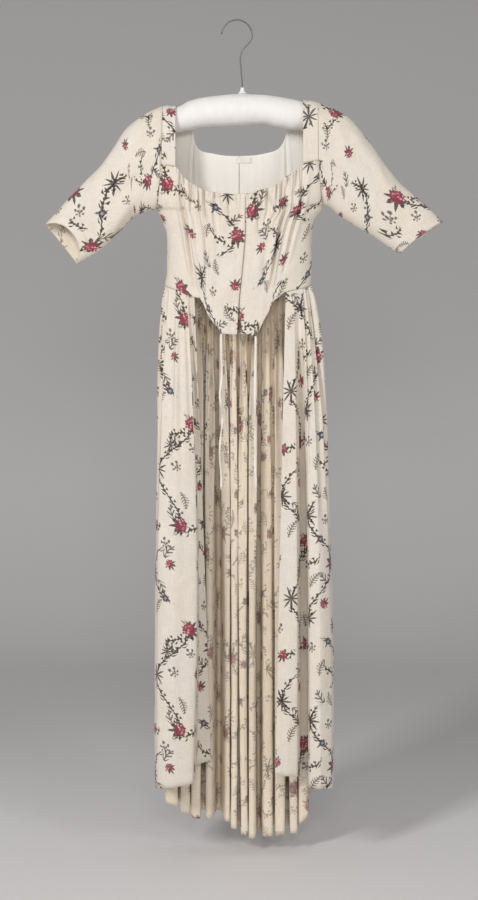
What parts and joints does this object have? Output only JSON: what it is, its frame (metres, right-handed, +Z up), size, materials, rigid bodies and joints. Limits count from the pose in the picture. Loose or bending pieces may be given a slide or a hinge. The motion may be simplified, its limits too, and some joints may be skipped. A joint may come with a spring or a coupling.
{
  "type": "robe a l'anglaise on padded hanger",
  "caption": "Open-front printed cotton gown with a pointed bodice, elbow sleeves and a long pleated trained skirt, hung on a padded hanger.",
  "frame": {"origin": "inner top of the hanger's wire hook, where the part hangs", "axes": "+Z up, the gown's front faces -Y, the wearer's left is +X"},
  "size_m": [0.804, 0.183, 1.6897],
  "materials": {
    "print": "plain-weave cream cotton, block printed with trailing flowers",
    "linen": "plain-weave off-white linen",
    "tape": "woven white cotton tape",
    "padding": "smooth white cotton cover over wadding",
    "steel": "dull drawn wire"
  },
  "bodies": {
    "root": {"bodice_front_right": "print", "bodice_front_left": "print", "bodice_back_right": "print", "bodice_back_left": "print", "shoulder_strap_right": "print", "shoulder_strap_left": "print", "sleeve_right": "print", "sleeve_left": "print", "skirt_front_right": "print", "skirt_back_right": "print", "skirt_back_left": "print", "skirt_front_left": "print", "lining_back_right": "linen", "lining_back_left": "linen", "neck_label": "tape", "tie_right": "tape", "tie_left": "tape", "hanger_pad": "padding", "hanger_collar": "padding", "hanger_hook": "steel"}
  },
  "joints": []
}
